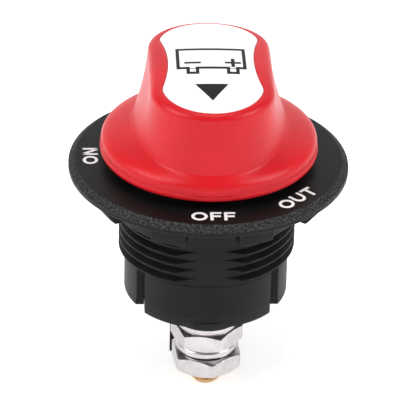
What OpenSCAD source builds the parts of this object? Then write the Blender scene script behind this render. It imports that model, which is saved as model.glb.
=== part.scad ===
// Panel-mounted battery isolator switch with a removable turning key knob.
// Z is the switch axis and -Y is the front, where OFF is marked. The modules measure heights from the
// underside of the flange, and on_panel() lifts each one so that Z = 0 is the panel that the lugs rest on.

/* [Flange and barrel] */
// Diameter of the round flange
flange_d = 69; // [66:0.5:72]
// Height of the flange's flat top face above its underside
flange_top_z = 2.7; // [2.4:0.1:3.2]
// Height of the flange's upright rim
flange_rim_h = 1.45; // [1:0.05:2]
// Width of the textured bevel round the flange
flange_bevel_w = 1.7; // [1:0.1:2.2]
// Diameter of the collar between the flange and the panel
collar_d = 48; // [47.8:0.1:48.4]
// Diameter of the spigot that enters the panel's hole
spigot_d = 47.5; // [47:0.1:47.6]
// Depth of the spigot's lower end below the flange
collar_h = 9.5; // [9.1:0.1:9.8]
// Diameter over the thread crests
thread_crest_d = 44; // [43.6:0.1:44.6]
// Diameter at the thread roots
thread_root_d = 41.2; // [41.2:0.1:41.6]
// Spacing of the thread ridges
thread_pitch = 2.5; // [2.4:0.05:2.6]
// Diameter of the plain body below the thread
body_d = 41.1; // [41.05:0.05:41.2]
// Distance from the axis to the front and rear flats
flat_y = 20.35; // [20.2:0.05:20.5]
// Depth of the body's side lobes below the flange
body_bottom = 34.1; // [33.8:0.1:34.5]
// Diameter of the hollow inside the body
cavity_d = 35.2; // [35:0.1:35.4]
// Depth of the lugs that rest on the panel
lug_depth = 6.4; // [6:0.1:6.6]

/* [Base and terminals] */
// Width across the base plate's straight sides
base_w = 31.2; // [30:0.1:31.4]
// Thickness of the base plate
base_t = 2.5; // [2.2:0.1:3]
// Distance of each terminal stud from the axis
stud_y = 12; // [11.9:0.1:12.2]
// Diameter of the terminal studs
stud_d = 10; // [9.9:0.05:10]
// Depth of the stud ends below the flange
stud_end = 54.5; // [54:0.1:55]
// Width of the terminal nuts across their flats
nut_af = 16; // [15.9:0.1:16.2]
// Height of each terminal nut
nut_h = 5; // [4.8:0.1:5]
// Depth of the insulating wall below the flange
wall_end = 54; // [53.5:0.1:55.5]

/* [Knob] */
// Diameter of the knob's round skirt
knob_d = 53.7; // [53.3:0.1:54.5]
// Height of the skirt's lower edge above the flange's underside
knob_bottom_z = 5; // [4.9:0.1:5.3]
// Height of the knob's top above the flange's underside
knob_top_z = 29.3; // [29:0.1:30.2]
// Half the length of the grip's top, front to back
grip_half_l = 24.9; // [24.6:0.1:25]
// Half the width of the grip's top between its rounded ends
grip_half_w = 15; // [14.8:0.1:15.4]

/* [Contacts] */
// Distance the contact carrier moves between OFF and ON
contact_travel = 3; // [2.8:0.1:3]
// Turn of the knob between OFF and ON, in degrees
on_angle = 90; // [80:5:90]
// Turn of the knob between OFF and OUT, in degrees
out_angle = 45; // [30:5:45]

/* [Hidden] */
$fn = 96;
tiny = 0.01;
// Clearance of a running fit, on the radius
running = 0.05;

flange_r = flange_d / 2;
collar_r = collar_d / 2;
spigot_r = spigot_d / 2;
body_r = body_d / 2;
cavity_r = cavity_d / 2;
thread_turns = 5;
thread_first_z = -11.2;
thread_end_z = thread_first_z - (thread_turns - 1) * thread_pitch - 1.2;
seam_z = 1.8 - body_bottom;
plate_bottom_z = seam_z - base_t;
roof_z = -4;

// Lugs under the flange: the front pair's inner and outer angles
lug_inner_a = 13;
lug_outer_a = 30.5;
lug_r = 29;
gusset_a = 54;
gusset_t = 2.2;

// Corner notches of the body, where the side lobes end
notch_x = base_w / 2;
notch_w = 2.5;
notch_y = 10.5;

// Neck of the rotor and its bore in the housing
neck_r = 10;
neck_top_z = 4.2;
seal_r = 1.2;
seal_groove_r = 12.6;

// Bosses under the base
boss_r = 8.7;
boss_bottom_z = plate_bottom_z - 0.5;
plug_top_z = -29.5;
plug_r = cavity_r - 0.1;
screw_x = 12.2;
wall_half_w = 8.7;
wall_t = 2;

// Stack of fasteners on each stud, from the boss downwards
washer_t = 2;
spring_washer_t = 2.5;
washer_r = 7.8;
// Radius of the studs inside the base and the nuts, at the core of their thread
core_r = stud_d / 2 - 0.8;
boss_nut_top = boss_bottom_z - washer_t;
spring_washer_top = boss_nut_top - nut_h;
terminal_nut_top = spring_washer_top - spring_washer_t;

// Contact heads of the studs, trimmed to follow the body's wall
head_af = 14;
head_trim_r = cavity_r - 0.4;
head_top_z = -26.9;
head_seat_z = plug_top_z - 1;
contact_pad_t = 0.4;
contact_r = 3.4;

// Cam of the rotor and followers of the contact carrier
rotor_disc_r = 16.3;
rotor_disc_top = roof_z - 0.5;
rotor_disc_t = 2.1;
cam_inner_r = 11;
cam_outer_r = 15.4;
cam_steps = 30;
cam_end_a = 5;
cam_rate = contact_travel / on_angle;
follower_top_z = -8.6;
follower_gap = 0.3;

// Contact carrier
carrier_top_z = -13.3;
carrier_t = 2.1;
carrier_r = cavity_r - 0.4;
key_w = 4;
key_depth = 1.8;
stem_r = 3.5;
stem_bore_r = 2.6;
stem_bottom_z = -24.7;
open_gap = contact_travel + 0.05;
bridge_contact_z = head_top_z + contact_pad_t + open_gap;
bridge_bottom_z = bridge_contact_z + 1.6;
bridge_t = 2.25;
bridge_top_z = bridge_bottom_z + bridge_t;

// Square shaft that joins the knob to the rotor
shaft_w = 8;
shaft_bottom_z = -6.4;
shaft_top_z = 19;
screw_r = 2;
screw_head_r = 4;
screw_seat_z = 23.5;

// Knob: the dome that its top and the label follow, and the steps of its surface
dome_r = 147;
label_t = 0.8;
label_half_l = 23.3;
label_corner_x = 12.1;
label_corner_y = 12.7;
label_waist = 10.4;
skirt_edge_z = knob_bottom_z + 1.7;
skirt_h = 5.7;
skirt_w = 8;
skirt_power = 3.6;
grip_foot_w = 19.8;
grip_foot_l = 25.2;
knob_around = 56;
knob_skirt_steps = 7;
knob_wall_steps = 5;
knob_round_steps = 4;
knob_cap_steps = 3;

// Springs
return_spring_r = 1.95;
return_wire_r = 0.3;
return_seat_z = -31.5;
contact_spring_r = 5.6;
contact_wire_r = 0.45;

// Lifts a piece from the flange's heights to the panel's
module on_panel() {
    translate([0, 0, lug_depth])
    children();
}

module ring(outer, inner, z0, z1) {
    translate([0, 0, z0])
    difference() {
        cylinder(r = outer, h = z1 - z0);
        translate([0, 0, -tiny])
        cylinder(r = inner, h = z1 - z0 + 2 * tiny);
    }
}

module at_studs() {
    for (side = [-1, 1])
        translate([0, side * stud_y, 0])
        children();
}

// Sector of a ring between two angles, measured from the front
module sector(inner, outer, a0, a1, z0, z1) {
    translate([0, 0, z0])
    rotate([0, 0, a0 - 90])
    rotate_extrude(angle = a1 - a0)
    translate([inner, 0])
    square([outer - inner, z1 - z0]);
}

// Closed solid through a row of rings that all have the same number of points, each of them
// anticlockwise when the row runs towards the viewer
module loft(rings) {
    sides = len(rings[0]);
    last = len(rings) - 1;
    points = [for (ring = rings) each ring];
    walls = [
        for (i = [0:last - 1])
            for (k = [0:sides - 1])
                let (n = (k + 1) % sides)
                [i * sides + k, (i + 1) * sides + k, (i + 1) * sides + n, i * sides + n]
    ];
    first_cap = [for (k = [0:sides - 1]) k];
    last_cap = [for (k = [sides - 1:-1:0]) last * sides + k];
    polyhedron(points, concat([first_cap], walls, [last_cap]), convexity = 8);
}

// A wire wound round Z between two heights
module coil(mean_r, wire_r, z0, z1, turns, ring_steps, sides) {
    count = turns * ring_steps;
    rise = (z1 - z0 - 2 * wire_r) / count;
    loft([
        for (i = [0:count])
            [for (k = [0:sides - 1])
                let (a = 360 * i / ring_steps, b = 360 * k / sides)
                let (r = mean_r + wire_r * cos(b))
                [r * cos(a), r * sin(a), z0 + wire_r + rise * i - wire_r * sin(b)]]
    ]);
}

module flange_body() {
    rotate_extrude()
    polygon([
        [neck_r + running, 0],
        [flange_r - 0.3, 0],
        [flange_r, 0.3],
        [flange_r, flange_rim_h],
        [flange_r - flange_bevel_w, flange_top_z],
        [24, flange_top_z],
        [22.8, 3.4],
        [16, 3.4],
        [15.2, neck_top_z],
        [neck_r + running, neck_top_z]
    ]);
}

// Ridges of the barrel, as a row of teeth turned about Z
module thread_ridges() {
    half_crest = 0.22;
    half_root = 1.05;
    rotate_extrude()
    for (i = [0:thread_turns - 1])
        translate([0, thread_first_z - i * thread_pitch])
        polygon([
            [cavity_r + 1, half_root],
            [thread_root_d / 2, half_root],
            [thread_crest_d / 2, half_crest],
            [thread_crest_d / 2, -half_crest],
            [thread_root_d / 2, -half_root],
            [cavity_r + 1, -half_root]
        ]);
}

// Stiffening web from the collar out to the flange
module gusset() {
    rotate([90, 0, -90])
    translate([0, 0, -gusset_t / 2])
    linear_extrude(gusset_t)
    polygon([
        [collar_r - 1, 0.3],
        [flange_r - 1.2, 0.3],
        [flange_r - 1.2, -0.6],
        [lug_r + 0.2, -lug_depth + 0.2],
        [collar_r - 1, -lug_depth + 0.2]
    ]);
}

module housing_solid() {
    flange_body();
    translate([0, 0, -lug_depth])
    cylinder(r = collar_r, h = lug_depth + tiny);
    translate([0, 0, -collar_h])
    cylinder(r = spigot_r, h = collar_h - lug_depth + tiny);
    translate([0, 0, thread_end_z])
    cylinder(r = thread_root_d / 2, h = -thread_end_z - collar_h + tiny);
    thread_ridges();
    translate([0, 0, -body_bottom])
    cylinder(r = body_r, h = body_bottom + thread_end_z + tiny);
    for (end = [0, 180], side = [-1, 1])
        rotate([0, 0, end]) {
            sector(collar_r - 1, lug_r,
                side > 0 ? lug_inner_a : -lug_outer_a,
                side > 0 ? lug_outer_a : -lug_inner_a,
                -lug_depth, 0.3);
            rotate([0, 0, side * gusset_a])
            gusset();
        }
}

module housing_cuts() {
    // Neck bore and the seal's groove
    translate([0, 0, roof_z - tiny])
    cylinder(r = neck_r + running, h = neck_top_z - roof_z + 2 * tiny);
    ring(seal_groove_r, neck_r, -1.6, 1.2);
    // Hollow for the mechanism
    translate([0, 0, -body_bottom - 1])
    cylinder(r = cavity_r, h = body_bottom + 1 + roof_z);
    // Flats down the front and the back
    for (side = [-1, 1])
        translate([-flange_r, side > 0 ? flat_y : -flat_y - 10, -body_bottom - 1])
        cube([2 * flange_r, 10, body_bottom + 1 - collar_h - 0.5]);
    // Channel that the base plate lies in
    translate([-base_w / 2 - 0.1, -body_d, -body_bottom - 1])
    cube([base_w + 0.2, 2 * body_d, seam_z + body_bottom + 1]);
    // Corner notches beside the front and rear faces
    for (side_x = [-1, 1], side_y = [-1, 1])
        translate([
            side_x > 0 ? notch_x : -notch_x - notch_w,
            side_y > 0 ? notch_y : -notch_y - 12,
            -body_bottom - 1
        ])
        cube([notch_w, 12, body_bottom + 1 + thread_end_z]);
}

// Upright keys that stop the contact carrier turning, and the pillars for the base screws
module housing_inner() {
    for (side = [-1, 1]) {
        translate([side * (cavity_r - key_depth / 2 + 0.25), 0, (-26 + roof_z) / 2 - 4])
        cube([key_depth + 0.5, key_w, 14], center = true);
        difference() {
            translate([side * screw_x, 0, seam_z])
            cylinder(r = 3.4, h = 8.2);
            translate([side * screw_x, 0, seam_z - tiny])
            cylinder(r = 1.25, h = 7);
        }
        translate([side > 0 ? screw_x + 1.6 : -cavity_r - 0.5, -2, seam_z])
        cube([cavity_r + 0.5 - screw_x - 1.6, 4, 8.2]);
    }
}

module housing() {
    color([0.09, 0.09, 0.095])
    union() {
        difference() {
            housing_solid();
            housing_cuts();
        }
        housing_inner();
    }
}

module shaft_seal() {
    color([0.05, 0.05, 0.05])
    rotate_extrude()
    translate([neck_r + running + seal_r + 0.08, -0.2])
    circle(r = seal_r);
}

module base_outline(r, w) {
    intersection() {
        circle(r = r);
        square([w, 4 * r], center = true);
    }
}

module base() {
    color([0.1, 0.1, 0.105])
    difference() {
        union() {
            translate([0, 0, plate_bottom_z])
            linear_extrude(base_t)
            base_outline(20.2, base_w);
            translate([0, 0, seam_z - tiny])
            cylinder(r = plug_r, h = plug_top_z - seam_z + tiny);
            at_studs()
            translate([0, 0, boss_bottom_z])
            cylinder(r = boss_r, h = 2);
            translate([-wall_half_w, -wall_t / 2, -wall_end])
            cube([2 * wall_half_w, wall_t, wall_end + plate_bottom_z + 1]);
        }
        at_studs()
        translate([0, 0, -stud_end])
        cylinder(r = core_r + running, h = stud_end);
        stud_heads(0.1, head_seat_z, plug_top_z + 1);
        // Seat of the return spring
        translate([0, 0, return_seat_z])
        cylinder(r = 3, h = 5);
        // Clearance for the pillars and holes for the screws
        for (side = [-1, 1]) {
            translate([side * screw_x, 0, seam_z])
            cylinder(r = 3.6, h = 5);
            translate([side > 0 ? screw_x : -cavity_r - 1, -2.2, seam_z])
            cube([cavity_r + 1 - screw_x, 4.4, 5]);
            translate([side * screw_x, 0, plate_bottom_z - 1])
            cylinder(r = 1.6, h = 6);
            translate([side * screw_x, 0, plate_bottom_z - tiny])
            cylinder(r1 = 3, r2 = 1.6, h = 1.4);
        }
    }
}

// Countersunk screws that hold the base: one cross-recessed screw, head down
module base_screw() {
    difference() {
        union() {
            translate([0, 0, plate_bottom_z + 0.1])
            cylinder(r1 = 2.85, r2 = 1.2, h = 1.5);
            translate([0, 0, plate_bottom_z + 0.1])
            cylinder(r = 1.2, h = 8);
        }
        for (turn = [0, 90])
            rotate([0, 0, turn])
            translate([-1.4, -0.3, plate_bottom_z])
            cube([2.8, 0.6, 0.9]);
    }
}

module base_screws() {
    color([0.75, 0.75, 0.77])
    for (side = [-1, 1])
        translate([side * screw_x, 0, 0])
        base_screw();
}

// Hexagon heads of both studs, cut off where they would meet the body's wall
module stud_heads(grow, z0, z1) {
    intersection() {
        at_studs()
        translate([0, 0, z0])
        rotate([0, 0, 30])
        cylinder(r = (head_af / 2 + grow) / cos(30), h = z1 - z0, $fn = 6);
        translate([0, 0, z0 - 1])
        cylinder(r = head_trim_r + grow, h = z1 - z0 + 2);
    }
}

// One stud, at full thickness only below its nuts: side is -1 for the front and 1 for the rear
module stud(side) {
    tip_h = 2.5;
    tip_r = 2.9;
    free_top_z = terminal_nut_top - nut_h - 0.2;
    translate([0, side * stud_y, 0]) {
        translate([0, 0, free_top_z - tiny])
        cylinder(r = core_r, h = head_seat_z - free_top_z + 2 * tiny);
        translate([0, 0, tip_h - stud_end])
        cylinder(r = stud_d / 2, h = stud_end - tip_h + free_top_z);
        translate([0, 0, -stud_end])
        cylinder(r1 = tip_r, r2 = stud_d / 2, h = tip_h);
    }
    intersection() {
        stud_heads(0, head_seat_z, head_top_z);
        translate([-20, side > 0 ? 0 : -40, -40])
        cube([40, 40, 40]);
    }
}

module stud_front() {
    color([0.78, 0.6, 0.3])
    stud(-1);
}

module stud_rear() {
    color([0.78, 0.6, 0.3])
    stud(1);
}

module stud_contacts() {
    color([0.85, 0.85, 0.83])
    at_studs()
    translate([0, 0, head_top_z])
    cylinder(r = contact_r, h = contact_pad_t);
}

module stud_washers() {
    color([0.8, 0.79, 0.79])
    at_studs()
    ring(washer_r, stud_d / 2 + running, boss_nut_top, boss_bottom_z);
}

// Hexagon nut with both faces chamfered at the corners
module hex_nut(top_z, turn) {
    corner_r = nut_af / 2 / cos(30);
    face_r = nut_af / 2 - 0.35;
    bevel_h = 1.0;
    translate([0, 0, top_z - nut_h])
    difference() {
        intersection() {
            rotate([0, 0, turn])
            cylinder(r = corner_r, h = nut_h, $fn = 6);
            rotate_extrude()
            polygon([
                [0, 0],
                [face_r, 0],
                [corner_r - 0.15, bevel_h],
                [corner_r - 0.15, nut_h - bevel_h],
                [face_r, nut_h],
                [0, nut_h]
            ]);
        }
        translate([0, 0, -tiny])
        cylinder(r = core_r + running, h = nut_h + 2 * tiny);
        for (face = [0, 1])
            translate([0, 0, face * nut_h])
            mirror([0, 0, face])
            translate([0, 0, -tiny])
            cylinder(r1 = stud_d / 2 + 0.6, r2 = stud_d / 2, h = 0.6);
    }
}

module boss_nuts() {
    color([0.8, 0.79, 0.79])
    at_studs()
    hex_nut(boss_nut_top, -9.7);
}

// Sprung lock washer: a thick rounded ring, split at one place
module spring_washers() {
    color([0.82, 0.81, 0.81])
    at_studs()
    difference() {
        rotate_extrude()
        polygon([
            [stud_d / 2 + 0.2, spring_washer_top - spring_washer_t],
            [7.2, spring_washer_top - spring_washer_t],
            [7.75, spring_washer_top - spring_washer_t + 0.6],
            [7.75, spring_washer_top - 0.6],
            [7.2, spring_washer_top],
            [stud_d / 2 + 0.2, spring_washer_top]
        ]);
        rotate([0, 0, 160])
        translate([0, -0.3, spring_washer_top - spring_washer_t - 1])
        cube([9, 0.6, spring_washer_t + 2]);
    }
}

module terminal_nuts() {
    color([0.8, 0.79, 0.79])
    at_studs()
    hex_nut(terminal_nut_top, -22);
}

module square_prism(w, z0, z1) {
    translate([-w / 2, -w / 2, z0])
    cube([w, w, z1 - z0]);
}

// Cam ramp below the rotor's disc: it drops as the angle from the front grows, then runs level
module cam_ramp() {
    top_z = rotor_disc_top - rotor_disc_t + 0.2;
    sweep = on_angle + out_angle + cam_end_a;
    loft([
        for (i = [0:cam_steps])
            let (a = i * sweep / cam_steps - out_angle)
            let (low_z = follower_top_z + follower_gap - cam_rate * min(a, on_angle))
            [
                [cam_inner_r * sin(a), -cam_inner_r * cos(a), low_z],
                [cam_inner_r * sin(a), -cam_inner_r * cos(a), top_z],
                [cam_outer_r * sin(a), -cam_outer_r * cos(a), top_z],
                [cam_outer_r * sin(a), -cam_outer_r * cos(a), low_z]
            ]
    ]);
}

// Turning sleeve: a neck with a square socket, and a disc with two cam ramps below it
module rotor() {
    disc_bottom = rotor_disc_top - rotor_disc_t;
    color([0.86, 0.85, 0.8])
    difference() {
        union() {
            translate([0, 0, rotor_disc_top - tiny])
            cylinder(r = neck_r, h = neck_top_z - rotor_disc_top + tiny);
            translate([0, 0, disc_bottom])
            cylinder(r = rotor_disc_r, h = rotor_disc_t);
            for (turn = [0, 180])
                rotate([0, 0, turn])
                cam_ramp();
        }
        square_prism(shaft_w + 0.1, disc_bottom - 1, neck_top_z + 1);
    }
}

module thrust_washer() {
    color([0.8, 0.8, 0.82])
    ring(15.5, neck_r + 0.3, roof_z - 0.4, roof_z);
}

// Outline of the label: rounded at the front and rear, drawn in at the sides
module label_outline(grow = 0) {
    end_y = (label_half_l * label_half_l - label_corner_x * label_corner_x
        - label_corner_y * label_corner_y) / (2 * (label_half_l - label_corner_y));
    end_r = label_half_l - end_y;
    dip = label_corner_x - label_waist;
    side_r = (label_corner_y * label_corner_y + dip * dip) / (2 * dip);
    difference() {
        union() {
            for (end = [-1, 1])
                translate([0, end * end_y])
                circle(r = end_r + grow);
            square([2 * (label_corner_x - 0.2 + grow), 2 * (end_y + 0.3)], center = true);
        }
        for (side = [-1, 1])
            translate([side * (label_waist + grow + side_r), 0])
            circle(r = side_r);
    }
}

// Ball about the dome's centre, laid with its poles front and rear
module dome_ball(r) {
    translate([0, 0, knob_top_z - dome_r])
    rotate([90, 0, 0])
    sphere(r = r);
}

// The space of the label: a slice of its outline between two depths below the knob's dome
module label_slice(grow, depth, rise) {
    difference() {
        intersection() {
            translate([0, 0, knob_top_z - 6])
            linear_extrude(12)
            label_outline(grow);
            dome_ball(dome_r + rise);
        }
        dome_ball(dome_r - depth);
    }
}

function smooth_min(a, b, k) =
    let (h = max(k - abs(a - b), 0) / k)
    min(a, b) - h * h * k / 4;
function smooth_max(a, b, k) = -smooth_min(-a, -b, k);

// Height of the domed top at a distance from the axis
function dome_z(r) = knob_top_z - dome_r + sqrt(dome_r * dome_r - r * r);

// Half the width of the grip's top at a fraction f of its half-length: straight sides, oval ends
function grip_top_x(f) =
    let (end_l = 13.7, past = max((abs(f) - 1) * grip_half_l + end_l, 0) / end_l)
    grip_half_w * sqrt(max(1 - past * past, 0));

// Point of the grip's wall: a is the angle from the front, drop is 0 at the top and 1 at the foot
function grip_point(a, drop) =
    let (f = -cos(a), low = pow(drop, 1.25))
    let (x = (1 - low) * grip_top_x(f) + low * grip_foot_w * abs(sin(a)))
    let (half_l = grip_half_l + (grip_foot_l - grip_half_l) * pow(drop, 0.8))
    [sin(a) < 0 ? -x : x, f * half_l];

// Radius of the skirt's rounded upper face at a height: it bends inwards faster as it rises
function skirt_r(z) =
    let (u = max(z - skirt_edge_z, 0) / skirt_h)
    max(knob_d / 2 - 0.25 - skirt_w * pow(u, skirt_power), 6);

// Knob's wall at angle a and height z: the grip meets the skirt in a tight crease at the sides and
// runs smoothly out into it at the front and rear
function wall_point(a, z) =
    let (foot_z = 10.5, top_z = 26, blend = 3.4 - 1.9 * sin(a) * sin(a))
    let (p = grip_point(a, max((top_z - z) / (top_z - foot_z), 0)))
    let (r = norm(p), grown = smooth_max(r, skirt_r(z), blend) / r)
    [p.x * grown, p.y * grown, z];

// Edge of the top at angle a, and the width of the rounding there
function top_edge(a) = grip_point(a, 0);
function rounding(a) = 1.4 + 0.9 * sin(a) * sin(a);

// Point of the rounded shoulder: bend goes from 0 at the wall to 90 at the top
function shoulder_point(a, bend) =
    let (p = top_edge(a), r = norm(p), w = rounding(a))
    let (inner = r - w * (1 - cos(bend)))
    [p.x * inner / r, p.y * inner / r, dome_z(inner) - w * (1 - sin(bend))];

// Point of the top itself: s goes from 1 at the shoulder to 0 at the axis
function cap_point(a, s) =
    let (p = shoulder_point(a, 90), r = norm([p.x, p.y]) * s)
    [p.x * s, p.y * s, dome_z(r)];

knob_angles = [for (k = [0:knob_around - 1]) 360 * k / knob_around];
function skirt_ring(r, z) = [for (a = knob_angles) [r * sin(a), -r * cos(a), z]];

module knob_solid() {
    rim_r = knob_d / 2;
    skirt = [
        skirt_ring(rim_r - 0.9, knob_bottom_z),
        skirt_ring(rim_r - 0.25, knob_bottom_z + 0.4),
        skirt_ring(rim_r, knob_bottom_z + 1.1)
    ];
    joint_z = skirt_edge_z + 1.2 * skirt_h;
    low_wall = [
        for (i = [0:knob_skirt_steps])
            let (z = skirt_edge_z + (joint_z - skirt_edge_z) * sin(90 * i / knob_skirt_steps))
            [for (a = knob_angles) wall_point(a, z)]
    ];
    wall = [
        for (i = [1:knob_wall_steps])
            [for (a = knob_angles)
                let (edge_z = shoulder_point(a, 0).z)
                wall_point(a, joint_z + (edge_z - joint_z) * i / knob_wall_steps)]
    ];
    shoulder = [
        for (i = [1:knob_round_steps])
            [for (a = knob_angles) shoulder_point(a, 90 * i / knob_round_steps)]
    ];
    cap = [
        for (i = [1:knob_cap_steps])
            [for (a = knob_angles) cap_point(a, 1 - 0.97 * i / knob_cap_steps)]
    ];
    loft(concat(skirt, low_wall, wall, shoulder, cap));
}

module knob() {
    color([0.82, 0.13, 0.16])
    difference() {
        knob_solid();
        // Hollow over the flange's raised centre and the shaft's collar
        translate([0, 0, knob_bottom_z - tiny])
        cylinder(r = 24, h = 1.6);
        translate([0, 0, knob_bottom_z])
        cylinder(r = 11, h = 6.8);
        // Socket for the square shaft
        square_prism(shaft_w, knob_bottom_z + 1, shaft_top_z);
        // Screw hole and the seat of its head, closed by the label
        translate([0, 0, shaft_top_z - 1])
        cylinder(r = screw_r + 0.15, h = 20);
        translate([0, 0, screw_seat_z])
        cylinder(r = screw_head_r + 0.3, h = 20);
        label_slice(0.1, label_t, 3);
    }
}

module knob_label() {
    color([0.95, 0.95, 0.95])
    label_slice(0, label_t, 0);
}

// Square steel shaft with a collar that bears on the rotor's neck
module key_shaft() {
    color([0.72, 0.72, 0.74])
    difference() {
        union() {
            square_prism(shaft_w - 0.02, shaft_bottom_z, shaft_top_z);
            translate([0, 0, neck_top_z + 0.3])
            cylinder(r = 7, h = 2);
        }
        translate([0, 0, 8])
        cylinder(r = 1.65, h = 20);
    }
}

module knob_screw() {
    color([0.78, 0.78, 0.8])
    difference() {
        union() {
            translate([0, 0, 9])
            cylinder(r = 1.6, h = screw_seat_z - 9 + tiny);
            translate([0, 0, screw_seat_z])
            cylinder(r = screw_head_r, h = 2.4);
        }
        for (turn = [0, 90])
            rotate([0, 0, turn])
            translate([-2.2, -0.4, screw_seat_z + 1])
            cube([4.4, 0.8, 3]);
    }
}

// Sliding carrier: a keyed disc with two cam followers and a hollow stem for the bridge
module contact_carrier() {
    color([0.84, 0.83, 0.79])
    difference() {
        union() {
            translate([0, 0, carrier_top_z - carrier_t])
            cylinder(r = carrier_r, h = carrier_t);
            translate([0, 0, stem_bottom_z])
            cylinder(r = stem_r, h = carrier_top_z - stem_bottom_z);
            for (side = [-1, 1])
                translate([-1, side > 0 ? 11.6 : -14.8, carrier_top_z - tiny])
                cube([2, 3.2, follower_top_z - carrier_top_z + tiny]);
        }
        translate([0, 0, stem_bottom_z - 1])
        cylinder(r = stem_bore_r, h = carrier_top_z - 1.1 - stem_bottom_z + 1);
        for (side = [-1, 1])
            translate([side * cavity_r, 0, carrier_top_z])
            cube([2 * key_depth + 1, key_w + 0.6, 10], center = true);
        ring(stem_r + 1, stem_r - 0.45, bridge_bottom_z - 0.95, bridge_bottom_z - 0.05);
    }
}

module contact_bridge() {
    half_l = 15.6;
    color([0.8, 0.48, 0.3])
    difference() {
        translate([0, 0, bridge_bottom_z])
        linear_extrude(bridge_t)
        intersection() {
            square([12, 2 * half_l], center = true);
            circle(r = half_l);
        }
        translate([0, 0, bridge_bottom_z - 1])
        cylinder(r = stem_r + 0.1, h = 5);
        at_studs()
        translate([0, 0, bridge_bottom_z - 1])
        cylinder(r = 1.8, h = 5);
    }
}

module bridge_contacts() {
    color([0.86, 0.86, 0.84])
    at_studs() {
        translate([0, 0, bridge_contact_z])
        cylinder(r = contact_r, h = 1.6);
        translate([0, 0, bridge_bottom_z - tiny])
        cylinder(r = 1.8, h = bridge_t + 0.4);
    }
}

module contact_spring() {
    color([0.7, 0.7, 0.72])
    coil(contact_spring_r, contact_wire_r, bridge_top_z + 0.02, carrier_top_z - carrier_t - 0.02, 3, 24, 8);
}

module bridge_clip() {
    color([0.6, 0.6, 0.62])
    difference() {
        ring(5.8, stem_r - 0.4, bridge_bottom_z - 0.85, bridge_bottom_z - 0.1);
        translate([0, -2.2, bridge_bottom_z - 2])
        cube([9, 4.4, 4]);
    }
}

module return_spring() {
    color([0.7, 0.7, 0.72])
    coil(return_spring_r, return_wire_r, return_seat_z + 0.02, carrier_top_z - 1.12, 9, 14, 7);
}

on_panel() housing();
on_panel() shaft_seal();
on_panel() base();
on_panel() base_screws();
on_panel() stud_front();
on_panel() stud_rear();
on_panel() stud_contacts();
on_panel() stud_washers();
on_panel() boss_nuts();
on_panel() spring_washers();
on_panel() terminal_nuts();
on_panel() rotor();
on_panel() thrust_washer();
on_panel() knob();
on_panel() knob_label();
on_panel() key_shaft();
on_panel() knob_screw();
on_panel() contact_carrier();
on_panel() contact_bridge();
on_panel() bridge_contacts();
on_panel() contact_spring();
on_panel() bridge_clip();
on_panel() return_spring();
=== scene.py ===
"""Battery switch: the looks of every piece, the light and the camera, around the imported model."""
import math

import bpy
import numpy as np
from mathutils import Matrix, Vector


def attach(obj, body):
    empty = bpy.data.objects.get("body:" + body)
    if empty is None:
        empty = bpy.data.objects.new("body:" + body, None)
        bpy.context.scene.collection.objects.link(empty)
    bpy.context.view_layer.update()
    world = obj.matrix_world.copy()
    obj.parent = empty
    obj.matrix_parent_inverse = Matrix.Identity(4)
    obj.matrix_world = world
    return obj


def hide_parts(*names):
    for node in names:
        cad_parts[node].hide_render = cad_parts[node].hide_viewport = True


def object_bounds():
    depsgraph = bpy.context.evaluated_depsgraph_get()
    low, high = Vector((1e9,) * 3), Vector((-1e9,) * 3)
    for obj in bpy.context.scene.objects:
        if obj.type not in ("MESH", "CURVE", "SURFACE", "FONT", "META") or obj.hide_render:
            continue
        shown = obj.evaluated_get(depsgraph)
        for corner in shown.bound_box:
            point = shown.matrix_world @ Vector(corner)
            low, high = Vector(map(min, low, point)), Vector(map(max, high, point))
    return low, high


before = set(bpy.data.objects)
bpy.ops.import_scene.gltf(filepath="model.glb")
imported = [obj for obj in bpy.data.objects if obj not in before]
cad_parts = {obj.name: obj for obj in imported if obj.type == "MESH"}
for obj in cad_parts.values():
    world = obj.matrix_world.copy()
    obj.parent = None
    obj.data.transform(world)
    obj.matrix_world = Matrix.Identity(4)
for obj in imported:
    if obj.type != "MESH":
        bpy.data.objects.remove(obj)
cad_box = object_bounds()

# ---------------------------------------------------------------- sizes, in millimetres
# Heights are measured from the underside of the flange, which is LIFT above the panel at Z = 0.
MM = 0.001
LIFT = 6.4

FLANGE_R = 34.5
FLANGE_TOP = 2.7
RIM_H = 1.45
BEVEL_W = 1.7
COLLAR_R = 24.0
SPIGOT_R = 23.75
COLLAR_BOTTOM = -9.5
THREAD_CREST_R = 22.0
THREAD_ROOT_R = 20.55
THREAD_PITCH = 2.5
THREAD_FIRST = -11.2
THREAD_END = -22.4
THREAD_HALF_CREST = 0.2
THREAD_HALF_ROOT = 1.05
CASE_RING_STEP = 0.12
BODY_R = 20.5
FLAT_Y = 20.3
SEAM_Z = -32.3
LOBE_BOTTOM = -34.1
CAVITY_R = 17.6
ROOF_Z = -4.0
NECK_BORE_R = 10.05
NECK_TOP = 4.2
NECK_LIP_R = 15.2
DISC_R = 22.8
DISC_TOP = 3.4
NOTCH_X = 15.6
NOTCH_Y = 10.5
LUG_R = 29.0
LUG_BOTTOM = -6.4
LUG_ANGLES = (13.0, 30.5)
GUSSET_ANGLE = 54.0
GUSSET_T = 2.2

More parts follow.
